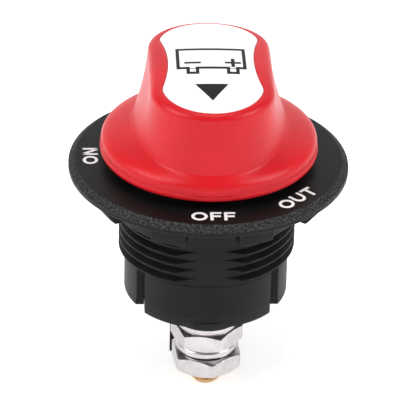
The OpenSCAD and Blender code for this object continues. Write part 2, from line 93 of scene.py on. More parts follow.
STUD_Y = 12.0
STUD_R = 5.0
STUD_PITCH = 1.5
STUD_HALF_CREST = 0.12
STUD_HALF_ROOT = 0.68
STUD_THREAD_DEPTH = 0.62
STUD_END = -54.5
STUD_TIP_H = 2.5
STUD_TIP_R = 2.9
HEAD_SEAT = -30.5
HEAD_TOP = -26.9
HEAD_AF = 14.0
BOSS_BOTTOM = -35.3
WASHER_R = 7.8
WASHER_T = 2.0
NUT_AF = 16.0
NUT_H = 5.0
NUT_COLUMNS = 192
UPPER_NUT_TURN = 50.3
LOWER_NUT_TURN = 38.0
LOCK_T = 2.5
LOCK_R = 7.75
UPPER_NUT_TOP = BOSS_BOTTOM - WASHER_T
LOCK_TOP = UPPER_NUT_TOP - NUT_H
LOWER_NUT_TOP = LOCK_TOP - LOCK_T

KNOB_R = 26.85
KNOB_BOTTOM = 5.0
KNOB_TOP = 29.3
DOME_R = 147.0
GRIP_HALF_L = 24.9
GRIP_HALF_W = 15.0
GRIP_END_L = 13.7
GRIP_FOOT_W = 19.8
GRIP_FOOT_L = 25.2
GRIP_FOOT_Z = 10.5
GRIP_TOP_Z = 26.0
SKIRT_EDGE = KNOB_BOTTOM + 1.7
SKIRT_H = 5.7
SKIRT_W = 8.0
SKIRT_POWER = 3.6
KNOB_COLUMNS = 288
SHAFT_HOLLOW_R = 11.0
SHAFT_HOLLOW_TOP = 12.0
SKIRT_HOLLOW_R = 24.0
SKIRT_HOLLOW_TOP = 6.6
LABEL_HALF_L = 23.3
LABEL_CORNER = (12.1, 12.7)
LABEL_WAIST = 10.4
LABEL_T = 0.8
LABEL_GAP = 0.1

MARK_H = 3.75
MARK_STROKE = 0.2
MARK_RADIUS = 29.05
MARK_GAP = 0.16


# ---------------------------------------------------------------- meshes
def grid_faces(rows, cols, close_rows, start=0):
    """Quads between neighbouring points of a grid whose columns close on themselves."""
    last = rows if close_rows else rows - 1
    i, k = np.meshgrid(np.arange(last), np.arange(cols), indexing="ij")
    j, n = (i + 1) % rows, (k + 1) % cols
    quads = np.stack([i * cols + k, i * cols + n, j * cols + n, j * cols + k], axis=-1)
    return (quads.reshape(-1, 4) + start).tolist()


def surface(points, close_rows=False):
    """Closed surface from an array of rings, rows by columns by xyz; open ends get flat caps."""
    rows, cols, _ = points.shape
    faces = grid_faces(rows, cols, close_rows)
    if not close_rows:
        faces.append(list(range(cols - 1, -1, -1)))
        faces.append(list(range((rows - 1) * cols, rows * cols)))
    flat = points.reshape(-1, 3)
    if signed_volume(flat, faces) < 0:
        faces = [face[::-1] for face in faces]
    return flat, faces


def signed_volume(points, faces):
    """Six times the volume inside the faces, positive when they point outwards."""
    total = 0.0
    quads = np.array([face for face in faces if len(face) == 4])
    centre = points.mean(axis=0)
    p = points - centre
    for a, b, c in ((0, 1, 2), (0, 2, 3)):
        corner = p[quads[:, a]], p[quads[:, b]], p[quads[:, c]]
        total += np.einsum("ij,ij->i", corner[0], np.cross(corner[1], corner[2])).sum()
    for face in faces:
        if len(face) != 4:
            ring = p[face]
            total += np.einsum("ij,ij->i", np.cross(ring[1:-1], ring[2:]),
                               np.broadcast_to(ring[0], ring[2:].shape)).sum()
    return total


def piece(name, parts, body, replaces=(), smooth=35.0):
    """One object from several closed surfaces, smooth except at edges sharper than an angle."""
    points, faces, start = [], [], 0
    for part_points, part_faces in parts:
        points.append(part_points)
        faces.extend([[v + start for v in face] for face in part_faces])
        start += len(part_points)
    co = (np.concatenate(points) + (0, 0, LIFT)) * MM
    mesh = bpy.data.meshes.new(name)
    mesh.from_pydata(co.tolist(), [], faces)
    mesh.polygons.foreach_set("use_smooth", np.ones(len(mesh.polygons), bool))
    mesh.set_sharp_from_angle(angle=math.radians(smooth))
    mesh.update()
    made = bpy.data.objects.new(name, mesh)
    bpy.context.scene.collection.objects.link(made)
    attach(made, body)
    if replaces:
        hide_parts(*replaces)
    return made


def rounded(corners, radius, steps=4, closed=True):
    """Polyline with each corner replaced by an arc-like curve: a quadratic through the two cuts."""
    corners = np.array(corners, float)
    t = np.linspace(0, 1, steps)[:, None]
    out = []
    for i, corner in enumerate(corners):
        if not closed and i in (0, len(corners) - 1):
            out.append(corner[None])
            continue
        before, after = corners[i - 1] - corner, corners[(i + 1) % len(corners)] - corner
        cut = min(radius, 0.45 * np.linalg.norm(before), 0.45 * np.linalg.norm(after))
        a = corner + before / np.linalg.norm(before) * cut
        b = corner + after / np.linalg.norm(after) * cut
        out.append((1 - t) ** 2 * a + 2 * t * (1 - t) * corner + t ** 2 * b)
    return np.concatenate(out)


def turned(profile, angles=None, centre=(0, 0)):
    """Profile of (radius, height) points carried round the axis through centre."""
    angles = np.linspace(0, 2 * np.pi, 128, endpoint=False) if angles is None else angles
    profile = np.array(profile, float)
    r, z = profile[:, :1], profile[:, 1:]
    return np.stack([
        centre[0] + r * np.sin(angles), centre[1] - r * np.cos(angles), z + 0 * angles,
    ], axis=-1)


def polar(radii, heights, angles, centre=(0, 0)):
    """Rings whose radius varies with the angle: radii is rows by angles, heights one a row or alike."""
    heights = np.broadcast_to(np.array(heights, float).reshape(len(radii), -1), radii.shape)
    return np.stack([
        centre[0] + radii * np.sin(angles), centre[1] - radii * np.cos(angles), heights,
    ], axis=-1)


def inset(outline, distance):
    """Outline moved inwards along its own normals, for an outline that runs anticlockwise."""
    ahead = np.roll(outline, -1, axis=0) - outline
    behind = outline - np.roll(outline, 1, axis=0)
    ahead /= np.linalg.norm(ahead, axis=1, keepdims=True)
    behind /= np.linalg.norm(behind, axis=1, keepdims=True)
    side = ahead + behind
    normal = np.stack([-side[:, 1], side[:, 0]], axis=1)
    normal /= np.linalg.norm(normal, axis=1, keepdims=True)
    lean = np.clip(np.abs((normal * np.stack([-ahead[:, 1], ahead[:, 0]], axis=1)).sum(axis=1)), 0.4, 1)
    return outline + normal * distance / lean[:, None]


def slab(outline, z0, z1, edge=0.3):
    """Plate of an anticlockwise outline between two heights, its edges rounded by a quarter circle."""
    turn = np.linspace(0, np.pi / 2, 4)
    rows = [(edge * (1 - np.sin(t)), z0 + edge * (1 - np.cos(t))) for t in turn]
    rows += [(edge * (1 - np.cos(t)), z1 - edge * (1 - np.sin(t))) for t in turn]
    rings = [np.column_stack([inset(outline, d), np.full(len(outline), z)]) for d, z in rows]
    return surface(np.array(rings))


def smooth_min(a, b, k):
    """Smaller of two values, blended where they are within k of each other."""
    h = np.maximum(k - np.abs(a - b), 0) / k
    return np.minimum(a, b) - h * h * k / 4


def smooth_max(a, b, k):
    """Larger of two values, blended where they are within k of each other."""
    return -smooth_min(-a, -b, k)


def sector_outline(r0, r1, a0, a1, steps=10):
    """Outline of a piece of a ring between two angles from the front, in degrees."""
    sweep = np.radians(np.linspace(a0, a1, steps))
    outer = np.column_stack([r1 * np.sin(sweep), -r1 * np.cos(sweep)])
    inner = np.column_stack([r0 * np.sin(sweep[::-1]), -r0 * np.cos(sweep[::-1])])
    return np.concatenate([outer, inner])


# ---------------------------------------------------------------- the black case
def ridge(distance, half_crest, half_root):
    """Height of a thread's ridge, 0 to 1, at a distance along the axis from its crest."""
    return np.clip((half_root - np.abs(distance)) / (half_root - half_crest), 0, 1)


def body_radius(angles):
    """Outer radius of the body below the thread: a circle with two flats and four corner notches."""
    across, along = np.abs(np.sin(angles)), np.abs(np.cos(angles))
    flat = FLAT_Y / np.maximum(along, 1e-6)
    notch = np.maximum(NOTCH_X / np.maximum(across, 1e-6), NOTCH_Y / np.maximum(along, 1e-6))
    return np.minimum(np.minimum(BODY_R, flat), notch)


def case_angles():
    """Even angles, with extra ones where the body's outline has corners."""
    corner = math.atan2(NOTCH_X, NOTCH_Y)
    flat_end = math.acos(FLAT_Y / BODY_R)
    notch_front = math.asin(NOTCH_X / BODY_R)
    notch_side = math.acos(NOTCH_Y / BODY_R)
    marks = [corner, flat_end, notch_front, notch_side]
    marks = [q * math.pi + s * m for q in (0, 1) for s in (1, -1) for m in marks]
    return np.unique(np.round(np.concatenate([
        np.linspace(0, 2 * np.pi, 360, endpoint=False), np.mod(marks, 2 * np.pi),
    ]), 6))


def case_shell():
    """Flange, collar, threaded barrel and body as one closed wall round the neck bore and the hollow.

    Every ring is a function of the angle: the thread's radius is its root plus a ridge whose crest
    climbs one pitch a turn, and the flats and notches cut the radius down to a plane's distance.
    """
    angles = case_angles()
    top = rounded([
        (NECK_BORE_R, NECK_TOP), (NECK_LIP_R, NECK_TOP), (NECK_LIP_R + 0.8, DISC_TOP),
        (DISC_R, DISC_TOP), (DISC_R + 1.2, FLANGE_TOP),
        (FLANGE_R - BEVEL_W, FLANGE_TOP), (FLANGE_R, RIM_H), (FLANGE_R, 0.0), (COLLAR_R, 0.0),
        (COLLAR_R, LUG_BOTTOM), (SPIGOT_R, LUG_BOTTOM - 0.15), (SPIGOT_R, COLLAR_BOTTOM),
        (THREAD_ROOT_R, COLLAR_BOTTOM),
    ], 0.25, closed=False)
    rings = [np.full(len(angles), r) for r, _ in top]
    heights = [z for _, z in top]
    flat = FLAT_Y / np.maximum(np.abs(np.cos(angles)), 1e-6)
    turn = angles / (2 * np.pi)
    for z in np.arange(COLLAR_BOTTOM - CASE_RING_STEP, THREAD_END, -CASE_RING_STEP):
        ends = np.clip(min(COLLAR_BOTTOM - 0.3 - z, z - THREAD_END) / 0.5, 0, 1)
        phase = (z - THREAD_FIRST) / THREAD_PITCH - turn
        distance = (phase - np.round(phase)) * THREAD_PITCH
        crest = ridge(distance, THREAD_HALF_CREST, THREAD_HALF_ROOT) * ends
        rings.append(np.minimum(THREAD_ROOT_R + (THREAD_CREST_R - THREAD_ROOT_R) * crest, flat))
        heights.append(z)
    body = body_radius(angles)
    for drop, down in ((0.35, 0.0), (0.1, 0.08), (0.0, 0.35)):
        rings.append(body - drop)
        heights.append(THREAD_END - down)
    for z in np.linspace(THREAD_END - 1, SEAM_Z + 0.6, 6):
        rings.append(body)
        heights.append(z)
    for drop, up in ((0.0, 0.3), (0.08, 0.1), (0.3, 0.0)):
        rings.append(body - drop)
        heights.append(SEAM_Z + up)
    for r, z in ((CAVITY_R, SEAM_Z), (CAVITY_R, ROOF_Z), (NECK_BORE_R, ROOF_Z)):
        rings.append(np.full(len(angles), r))
        heights.append(z)
    return surface(polar(np.array(rings), heights, angles), close_rows=True)


def lobe(side):
    """Part of the body's wall that reaches down beside the base plate, on one side."""
    half = 10.2
    y = np.linspace(-half, half, 22)
    outer = np.column_stack([np.sqrt(BODY_R ** 2 - y ** 2), y])
    inner_x = np.maximum(NOTCH_X + 0.1, np.sqrt(np.maximum(CAVITY_R ** 2 - y ** 2, 0)))
    inner = np.column_stack([inner_x, y])[::-1]
    outline = np.concatenate([outer, inner])
    if side < 0:
        outline = outline * (-1, -1)
    return slab(outline, LOBE_BOTTOM, SEAM_Z + 0.3, 0.25)


def lugs():
    """Two pairs of blocks under the flange whose lower ends rest on the panel."""
    made = []
    for end in (0, 180):
        for a0, a1 in (LUG_ANGLES, (-LUG_ANGLES[1], -LUG_ANGLES[0])):
            made.append(slab(sector_outline(COLLAR_R - 0.5, LUG_R, a0 + end, a1 + end),
                             LUG_BOTTOM, 0.3, 0.3))
    return made


def gusset(angle):
    """Thin web from the collar out to the flange: a flat outline given its thickness sideways."""
    outline = rounded([
        (COLLAR_R - 1, LUG_BOTTOM + 0.2), (LUG_R + 0.2, LUG_BOTTOM + 0.2),
        (FLANGE_R - 1.2, -0.8), (FLANGE_R - 1.2, 0.3), (COLLAR_R - 1, 0.3),
    ], 0.35)
    points, faces = slab(outline, -GUSSET_T / 2, GUSSET_T / 2, 0.25)
    out, up, across = points[:, 0], points[:, 1], points[:, 2]
    a = math.radians(angle)
    turned_points = np.column_stack([
        out * math.sin(a) + across * math.cos(a), -out * math.cos(a) + across * math.sin(a), up,
    ])
    if signed_volume(turned_points, faces) < 0:
        faces = [face[::-1] for face in faces]
    return turned_points, faces


def build_case():
    """The shell with its two lobes, four lugs and four gussets, as one piece."""
    parts = [case_shell(), lobe(1), lobe(-1)] + lugs()
    for side in (1, -1):
        parts += [gusset(side * GUSSET_ANGLE), gusset(side * (180 - GUSSET_ANGLE))]
    return piece("case_shell", parts, "case", ["housing"])


# ---------------------------------------------------------------- the terminals
def stud_outline(side):
    """Hexagon head, trimmed to a circle round the switch's axis, as an anticlockwise outline."""
    a = np.linspace(0, 2 * np.pi, 72, endpoint=False)
    reach = HEAD_AF / 2 / np.cos(np.mod(a, np.pi / 3) - np.pi / 6)
    x, y = reach * np.sin(a), -reach * np.cos(a)
    limit = np.sqrt(np.maximum((CAVITY_R - 0.45) ** 2 - x ** 2, 0)) - STUD_Y
    y = np.minimum(y * side, limit) * side
    return np.column_stack([x, y + side * STUD_Y])


def stud(side):
    """Threaded rod whose radius follows a ridge that climbs one pitch a turn, with a chamfered tip."""
    angles = np.linspace(0, 2 * np.pi, 72, endpoint=False)
    turn = angles / (2 * np.pi)
    heights = np.arange(HEAD_SEAT, STUD_END, -0.125)
    rings = []
    for z in heights:
        phase = (z - STUD_END) / STUD_PITCH - turn
        distance = (phase - np.round(phase)) * STUD_PITCH
        depth = STUD_THREAD_DEPTH * (1 - ridge(distance, STUD_HALF_CREST, STUD_HALF_ROOT))
        tip = STUD_TIP_R + (z - STUD_END) * (STUD_R - STUD_TIP_R) / STUD_TIP_H
        rings.append(np.minimum(STUD_R - depth, tip))
    rings += [np.full(len(angles), STUD_TIP_R), np.full(len(angles), STUD_TIP_R - 0.3)]
    heights = np.concatenate([heights, [STUD_END + 0.04, STUD_END]])
    rod = surface(polar(np.array(rings), heights, angles, (0, side * STUD_Y)))
    return [rod, slab(stud_outline(side), HEAD_SEAT, HEAD_TOP, 0.3)]


def flat_washer(side):
    """Round washer: a rounded rectangle turned about the stud's axis."""
    profile = rounded([
        (STUD_R + 0.05, BOSS_BOTTOM), (STUD_R + 0.05, BOSS_BOTTOM - WASHER_T),
        (WASHER_R, BOSS_BOTTOM - WASHER_T), (WASHER_R, BOSS_BOTTOM),
    ], 0.35, 5)
    return surface(turned(profile, centre=(0, side * STUD_Y)), close_rows=True)


def lock_washer(side, gap_angle=160.0, gap=4.0, rise=0.16):
    """Split ring: a rounded section carried round the stud, one end a little higher than the other."""
    section = rounded([
        (STUD_R + 0.2, -LOCK_T / 2), (LOCK_R, -LOCK_T / 2),
        (LOCK_R, LOCK_T / 2), (STUD_R + 0.2, LOCK_T / 2),
    ], 0.95, 7)
    a = np.radians(np.linspace(gap, 360 - gap, 90) + gap_angle)[:, None]
    climb = np.linspace(-rise, rise, 90)[:, None]
    r = section[None, :, 0]
    z = section[None, :, 1] * (1 - rise * 2 / LOCK_T) + LOCK_TOP - LOCK_T / 2 + climb
    points = np.stack([r * np.sin(a), side * STUD_Y - r * np.cos(a), z + 0 * a], axis=-1)
    return surface(points)


def hex_nut(side, top, turn):
    """Hexagon whose corners are cut back by a 30 degree cone at both faces, round a threaded bore."""
    angles = np.linspace(0, 2 * np.pi, NUT_COLUMNS, endpoint=False)
    spoke = np.mod(angles - math.radians(turn) + math.pi / 6, math.pi / 3) - math.pi / 6
    hexagon = smooth_min(NUT_AF / 2 / np.cos(spoke), NUT_AF / 2 / np.cos(math.pi / 6) - 0.12, 0.3)
    face_r = NUT_AF / 2 - 0.3
    cone = math.tan(math.radians(60))
    z = np.concatenate([[0, 0.02, 0.06], np.linspace(0.1, 1.3, 16), [NUT_H / 2]])
    cuts = [np.minimum(hexagon, face_r - 0.12 + min(h, 0.06) * 2 + cone * max(h - 0.06, 0)) for h in z]
    bore = [np.full(NUT_COLUMNS, r) for r in (STUD_R + 0.1, STUD_R + 0.55, face_r - 0.5)]
    rings = bore + cuts + cuts[::-1][1:] + bore[::-1]
    heights = np.concatenate([
        [0.5, 0.0, 0.0], z, NUT_H - z[::-1][1:], [NUT_H, NUT_H, NUT_H - 0.5],
    ]) + top - NUT_H
    return surface(polar(np.array(rings), heights, angles, (0, side * STUD_Y)), close_rows=True)


def build_terminals():
    """The two studs and the rings and nuts on them, each kind as one piece."""
    both = (-1, 1)
    made = {
        "stud_rod_front": piece("stud_rod_front", stud(-1), "case", ["stud_front"]),
        "stud_rod_rear": piece("stud_rod_rear", stud(1), "case", ["stud_rear"]),
        "flat_washers": piece("flat_washers", [flat_washer(s) for s in both], "case",
                              ["stud_washers"]),
        "lock_washers": piece("lock_washers", [lock_washer(s) for s in both], "case",
                              ["spring_washers"]),
        "upper_nuts": piece("upper_nuts", [hex_nut(s, UPPER_NUT_TOP, UPPER_NUT_TURN) for s in both],
                            "case", ["boss_nuts"], smooth=25),
        "lower_nuts": piece("lower_nuts", [hex_nut(s, LOWER_NUT_TOP, LOWER_NUT_TURN) for s in both],
                            "case", ["terminal_nuts"], smooth=25),
    }
    return made


# ---------------------------------------------------------------- the key knob
def dome_z(r):
    """Height of the knob's domed top at a distance from the axis."""
    return KNOB_TOP - DOME_R + np.sqrt(DOME_R ** 2 - r ** 2)


def grip_top_x(f):
    """Half the width of the grip's top at a fraction f of its half-length: straight, with oval ends."""
    past = np.maximum((np.abs(f) - 1) * GRIP_HALF_L + GRIP_END_L, 0) / GRIP_END_L
    return GRIP_HALF_W * np.sqrt(np.maximum(1 - past ** 2, 0))


def grip_point(a, drop):
    """Point of the grip's wall at an angle.

    The outline grows from the top's, straight-sided with oval ends, to the foot's oval as drop goes to 1.
    """
    f = -np.cos(a)
    low = drop ** 1.25
    x = (1 - low) * grip_top_x(f) + low * GRIP_FOOT_W * np.abs(np.sin(a))
    half_l = GRIP_HALF_L + (GRIP_FOOT_L - GRIP_HALF_L) * drop ** 0.8
    return np.where(np.sin(a) < 0, -x, x), f * half_l


def skirt_radius(z):
    """Radius of the skirt's rounded upper face: it loses a power of the height above the skirt's edge."""
    u = np.maximum(z - SKIRT_EDGE, 0) / SKIRT_H
    return np.maximum(KNOB_R - 0.25 - SKIRT_W * u ** SKIRT_POWER, 6)


def knob_wall(a, z):
    """Ring of the wall at heights z: the larger of the grip's and the skirt's radius.

    The two are blended over a width that is small at the sides, for a tight crease, and large in front.
    """
    x, y = grip_point(a, np.maximum((GRIP_TOP_Z - z) / (GRIP_TOP_Z - GRIP_FOOT_Z), 0))
    r = np.hypot(x, y)
    grown = smooth_max(r, skirt_radius(z), 3.4 - 1.9 * np.sin(a) ** 2) / r
    return np.stack([x * grown, y * grown, z + 0 * a], axis=-1)


def shoulder(a, bend):
    """Ring of the rounded shoulder: bend goes from 0 at the wall to a right angle at the top."""
    x, y = grip_point(a, np.zeros_like(a))
    r = np.hypot(x, y)
    w = 1.4 + 0.9 * np.sin(a) ** 2
    inner = r - w * (1 - np.cos(bend))
    return np.stack([x * inner / r, y * inner / r, dome_z(inner) - w * (1 - np.sin(bend))], axis=-1)


def label_ring(a, grow=0.0, drop=0.0):
    """Outline of the label on the dome: arcs at the front and rear, and inward arcs at the sides."""
    cx, cy = LABEL_CORNER
    end_y = (LABEL_HALF_L ** 2 - cx ** 2 - cy ** 2) / (2 * (LABEL_HALF_L - cy))
    end_r = LABEL_HALF_L - end_y
    dip = cx - LABEL_WAIST
    side_r = (cy ** 2 + dip ** 2) / (2 * dip)
    y = -np.cos(a) * (LABEL_HALF_L + grow)
    end_x = np.sqrt(np.maximum((end_r + grow) ** 2 - np.maximum(np.abs(y) - end_y, 0) ** 2, 0))
    side_x = LABEL_WAIST + grow + side_r - np.sqrt(np.maximum(side_r ** 2 - y ** 2, 0))
    x = smooth_min(end_x, side_x, 0.5) * np.sign(np.sin(a))
    x = np.where(np.abs(np.sin(a)) < 1e-9, 0, x)
    return np.stack([x, y, dome_z(np.hypot(x, y)) - drop], axis=-1)


def shrink(ring, s, drop=0.0):
    """Ring drawn in towards the axis by a factor, kept at a depth below the dome."""
    x, y = ring[:, 0] * s, ring[:, 1] * s
    return np.stack([x, y, dome_z(np.hypot(x, y)) - drop], axis=-1)


def level(a, r, z):
    """Flat circle of radius r at height z."""
    return np.stack([r * np.sin(a), -r * np.cos(a), np.full_like(a, z)], axis=-1)


def knob_shell():
    """Red shell: underside and hollow, skirt, grip, shoulder, and the pocket that the label lies in."""
    a = np.linspace(0, 2 * np.pi, KNOB_COLUMNS, endpoint=False)
    hollow = [
        (5.8, SHAFT_HOLLOW_TOP), (SHAFT_HOLLOW_R - 0.2, SHAFT_HOLLOW_TOP),
        (SHAFT_HOLLOW_R, SHAFT_HOLLOW_TOP - 0.2), (SHAFT_HOLLOW_R, SKIRT_HOLLOW_TOP + 0.4),
        (SHAFT_HOLLOW_R + 0.2, SKIRT_HOLLOW_TOP), (SKIRT_HOLLOW_R - 0.2, SKIRT_HOLLOW_TOP),
        (SKIRT_HOLLOW_R, SKIRT_HOLLOW_TOP - 0.2), (SKIRT_HOLLOW_R, KNOB_BOTTOM + 0.2),
        (SKIRT_HOLLOW_R + 0.2, KNOB_BOTTOM),
    ]
    rings = [level(a, r, z) for r, z in hollow]
    edge = rounded([(KNOB_R - 1.3, KNOB_BOTTOM), (KNOB_R - 0.3, KNOB_BOTTOM + 0.1), (KNOB_R, 6.1),
                    (KNOB_R - 0.25, SKIRT_EDGE)], 0.5, closed=False)
    rings += [level(a, r, z) for r, z in edge[:-1]]
    wall_top = shoulder(a, 0.0)[:, 2]
    joint = SKIRT_EDGE + 1.2 * SKIRT_H
    for s in np.sin(np.linspace(0, np.pi / 2, 32)):
        rings.append(knob_wall(a, np.full_like(a, SKIRT_EDGE + s * (joint - SKIRT_EDGE))))
    for s in np.linspace(0, 1, 25)[1:]:
        rings.append(knob_wall(a, joint + s * (wall_top - joint)))
    rings += [shoulder(a, bend) for bend in np.linspace(0, np.pi / 2, 9)[1:]]
    last, pocket = rings[-1], label_ring(a, LABEL_GAP)
    for s in (0.35, 0.7):
        between = last * (1 - s) + pocket * s
        between[:, 2] = dome_z(np.hypot(between[:, 0], between[:, 1]))
        rings.append(between)
    rings += [label_ring(a, LABEL_GAP + 0.06), label_ring(a, LABEL_GAP, 0.06),
              label_ring(a, LABEL_GAP, LABEL_T)]
    rings += [shrink(pocket, s, LABEL_T) for s in (0.7, 0.4, 0.1)]
    return surface(np.array(rings))


def label_plate():
    """White inlay: the label's outline on the dome, with a small rounded edge, closed below."""
    a = np.linspace(0, 2 * np.pi, KNOB_COLUMNS, endpoint=False)
    outline = label_ring(a)
    rings = [shrink(outline, s, LABEL_T - 0.02) for s in (0.1, 0.5, 0.95)]
    rings += [label_ring(a, -0.02, LABEL_T - 0.05), label_ring(a, 0.0, 0.3)]
    for t in np.linspace(0, np.pi / 2, 5):
        rings.append(label_ring(a, -0.22 * (1 - np.cos(t)), 0.22 * (1 - np.sin(t))))
    rings += [shrink(outline, s) for s in (0.94, 0.85, 0.7, 0.5, 0.3, 0.1)]
    return surface(np.array(rings))


# ---------------------------------------------------------------- printed marks on the flange
def bar(x0, y0, x1, y1, t):
    """Straight stroke of thickness t between two points, as an anticlockwise outline."""
    p, q = np.array([x0, y0]), np.array([x1, y1])
    side = (q - p) / np.linalg.norm(q - p)
    side = np.array([-side[1], side[0]]) * t / 2
    return np.array([p - side, q - side, q + side, p + side])


def letter_strokes(letter, h):
    """Strokes of one plain capital of height h, as outlines, and its width."""
    t = MARK_STROKE * h
    if letter == "O":
        return None, 1.04 * h
    if letter == "F":
        w = 0.72 * h
        return [bar(t / 2, 0, t / 2, h, t), bar(t, h - t / 2, w, h - t / 2, t),
                bar(t, h * 0.5, w * 0.93, h * 0.5, t)], w
    if letter == "N":
        w = 0.9 * h
        slant = np.array([(0.0, h), (t * 1.22, h), (w, 0.0), (w - t * 1.22, 0.0)])[::-1]
        return [bar(t / 2, 0, t / 2, h, t), bar(w - t / 2, 0, w - t / 2, h, t), slant], w
    if letter == "T":
        w = 0.85 * h
        return [bar(0, h - t / 2, w, h - t / 2, t), bar(w / 2, 0, w / 2, h - t, t)], w
    w = 0.9 * h
    return [bar(t / 2, w / 2 - 0.01, t / 2, h, t), bar(w - t / 2, w / 2 - 0.01, w - t / 2, h, t)], w


def arc_band(cx, cy, rx, ry, t, a0, a1, steps):
    """Band of thickness t along an elliptic arc: an outer and an inner curve, column by column."""
    a = np.radians(np.linspace(a0, a1, steps))
    outer = np.column_stack([cx + rx * np.cos(a), cy + ry * np.sin(a)])
    inner = np.column_stack([cx + (rx - t) * np.cos(a), cy + (ry - t) * np.sin(a)])
    return outer, inner


def ink(outer, inner, closed, z0, z1):
    """Thin closed solid over a band: a ring of four corners carried along it."""
    low, high = np.full(len(outer), z0), np.full(len(outer), z1)
    rings = np.stack([np.column_stack([outer, low]), np.column_stack([outer, high]),
                      np.column_stack([inner, high]), np.column_stack([inner, low])], axis=1)
    return surface(rings, close_rows=closed)


def word(text, angle, flip, h=MARK_H):
    """Capitals on the flange's flat top, centred at an angle from the front, tops inwards or outwards."""
    z0, z1 = FLANGE_TOP - 0.02, FLANGE_TOP + 0.05
    widths = [letter_strokes(c, h)[1] for c in text]
    cursor = -(sum(widths) + MARK_GAP * h * (len(text) - 1)) / 2
    made = []
    for c, w in zip(text, widths):
        t = MARK_STROKE * h
        shapes = [slab_flat(s, z0, z1) for s in (letter_strokes(c, h)[0] or [])]
        if c == "O":
            shapes.append(ink(*arc_band(w / 2, h / 2, w / 2, h / 2, t, 0, 354, 60), True, z0, z1))
        if c == "U":
            shapes.append(ink(*arc_band(w / 2, w / 2, w / 2, w / 2, t, 180, 360, 24), False, z0, z1))
        for points, faces in shapes:
            x, y = points[:, 0] + cursor, points[:, 1] - h / 2
            if flip:
                x, y = -x, -y
            a = math.radians(angle)
            y = y - MARK_RADIUS
            placed = np.column_stack([
                x * math.cos(a) - y * math.sin(a), x * math.sin(a) + y * math.cos(a), points[:, 2],
            ])
            made.append((placed, faces))
        cursor += w + MARK_GAP * h
    return made


def slab_flat(outline, z0, z1):
    """Plate of an outline with square edges, for a film of ink."""
    rings = [np.column_stack([outline, np.full(len(outline), z)]) for z in (z0, z1)]
    return surface(np.array(rings))


def build_marks():
    """The three words on the flange, as thin films of ink."""
    parts = word("OFF", 0, False) + word("OUT", 45, False) + word("ON", -90, True)
    return piece("flange_marks", parts, "case", smooth=20)


# ---------------------------------------------------------------- shader expressions
class Socket:
    """A number that varies over a surface. Arithmetic on it adds Math nodes."""

    def __init__(self, shader, link):
        self.shader, self.link = shader, link

    def math(self, operation, *others):
        """Math node on this number and the others."""
        return self.shader.node("ShaderNodeMath", {"operation": operation},
                                {i: v for i, v in enumerate([self, *others])})

    def __add__(self, other):
        return self.math("ADD", other)

    def __sub__(self, other):
        return self.math("SUBTRACT", other)

    def __mul__(self, other):
        return self.math("MULTIPLY", other)

    def __rsub__(self, other):
        return self.shader.number(other).math("SUBTRACT", self)

    __radd__ = __add__
    __rmul__ = __mul__

    def abs(self):
        return self.math("ABSOLUTE")

    def sqrt(self):
        return self.math("SQRT")

    def min(self, other):
        return self.math("MINIMUM", other)

    def max(self, other):
        return self.math("MAXIMUM", other)

    def clamp(self):
        """Held between 0 and 1."""
        return self.max(0.0).min(1.0)

    def step(self, low, high):
        """0 below low, 1 above high, smooth between."""
        return self.shader.node("ShaderNodeMapRange", {"interpolation_type": "SMOOTHSTEP"},
                                {0: self, 1: low, 2: high, 3: 0.0, 4: 1.0})


